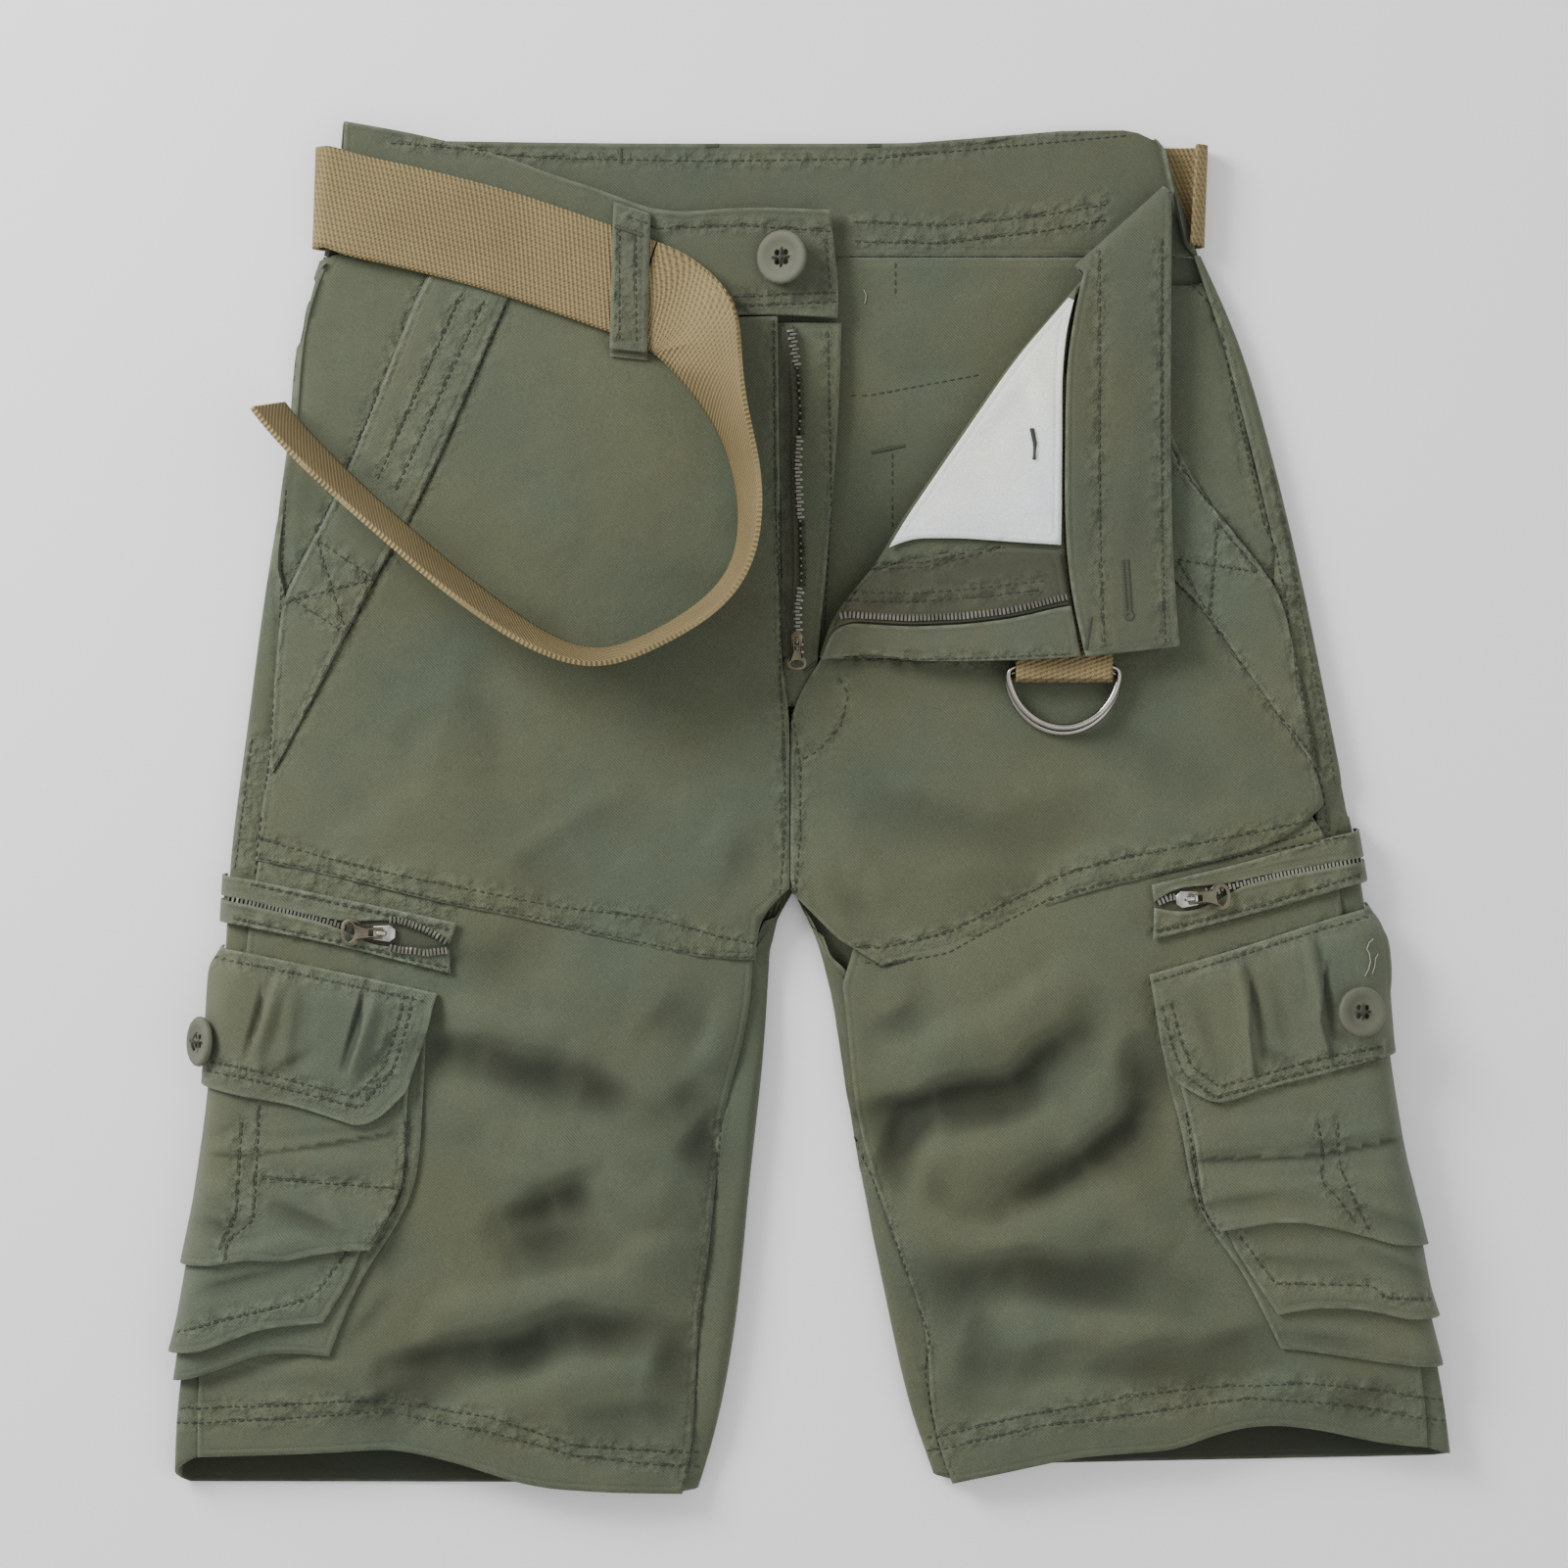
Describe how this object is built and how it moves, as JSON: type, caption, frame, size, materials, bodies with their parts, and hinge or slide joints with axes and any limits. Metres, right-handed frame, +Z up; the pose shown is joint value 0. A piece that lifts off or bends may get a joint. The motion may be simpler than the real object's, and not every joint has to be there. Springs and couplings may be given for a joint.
{
  "type": "cargo shorts",
  "caption": "Cargo shorts laid flat, left front folded open at the fly, webbing belt with D-rings, flapped cargo pockets and zip pockets on both thighs.",
  "frame": {"origin": "centre of the laid garment's bounding box, on the floor it lies on", "axes": "+X towards the wearer's left, +Y from the hems to the waist, +Z up from the floor"},
  "size_m": [0.522, 0.5586, 0.0559],
  "materials": {
    "twill": "washed cotton twill",
    "twill_band": "washed cotton twill",
    "twill_pocket": "washed cotton twill",
    "lining": "plain cotton",
    "webbing": "woven webbing",
    "zip_tape": "woven tape",
    "button": "satin",
    "ring_metal": "polished",
    "zip_metal": "aged"
  },
  "bodies": {
    "shorts": {"back_right": "twill", "back_left": "twill", "front_upper_right": "twill", "front_upper_left": "twill", "front_lower_right": "twill", "front_lower_left": "twill", "hip_right": "twill", "hip_left": "twill", "fly_shield": "twill", "waistband_back": "twill_band", "waistband_front_right": "twill_band", "waistband_front_left": "twill_band", "belt_loop": "twill_band", "fly_facing_left": "twill_band", "pocket_band_right": "twill_pocket", "pocket_band_left": "twill_pocket", "cargo_gusset_right": "twill_pocket", "cargo_gusset_left": "twill_pocket", "cargo_upper_right": "twill_pocket", "cargo_upper_left": "twill_pocket", "cargo_lower_right": "twill_pocket", "cargo_lower_left": "twill_pocket", "cargo_flap_right": "twill_pocket", "cargo_flap_left": "twill_pocket", "zip_welt_upper_right": "twill_pocket", "zip_welt_upper_left": "twill_pocket", "zip_welt_lower_right": "twill_pocket", "zip_welt_lower_left": "twill_pocket", "pocket_bag_left": "lining", "zip_tape_right": "zip_tape", "zip_tape_left": "zip_tape", "fly_tape_right": "zip_tape", "fly_tape_left": "zip_tape", "belt_free_end": "webbing", "belt_front": "webbing", "belt_back": "webbing", "belt_ring_end": "webbing", "waist_button": "button", "cargo_button_right": "button", "cargo_button_left": "button", "zip_slider_right": "zip_metal", "zip_slider_left": "zip_metal", "fly_slider": "zip_metal"},
    "zip_pull_right": {"zip_pull_right": "zip_metal"},
    "zip_pull_left": {"zip_pull_left": "zip_metal"},
    "fly_pull": {"fly_pull": "zip_metal"},
    "ring_lower": {"d_ring_lower": "ring_metal"},
    "ring_upper": {"d_ring_upper": "ring_metal"}
  },
  "joints": [
    {"name": "zip_pull_right_tilt", "type": "hinge", "parent": "shorts", "child": "zip_pull_right", "pos_m": [-0.1736, -0.04973, 0.02193], "axis": [0.03, 0.9991, -0.0284], "range_deg": [0, 150]},
    {"name": "zip_pull_left_tilt", "type": "hinge", "parent": "shorts", "child": "zip_pull_left", "pos_m": [0.1522, -0.03592, 0.02134], "axis": [0.0799, -0.9959, 0.0417], "range_deg": [0, 150]},
    {"name": "fly_pull_tilt", "type": "hinge", "parent": "shorts", "child": "fly_pull", "pos_m": [-0.0062, 0.06833, 0.01543], "axis": [-1, 0, 0], "range_deg": [0, 150]},
    {"name": "ring_lower_swing", "type": "hinge", "parent": "shorts", "child": "ring_lower", "pos_m": [0.1015, 0.056, 0.01619], "axis": [-1, 0, 0], "range_deg": [0, 60]},
    {"name": "ring_upper_swing", "type": "hinge", "parent": "shorts", "child": "ring_upper", "pos_m": [0.1015, 0.058, 0.01969], "axis": [-1, 0, 0], "range_deg": [0, 60]}
  ],
  "couplings": [
    {"joint": "ring_upper_swing", "follows": "ring_lower_swing", "ratio": 1}
  ]
}
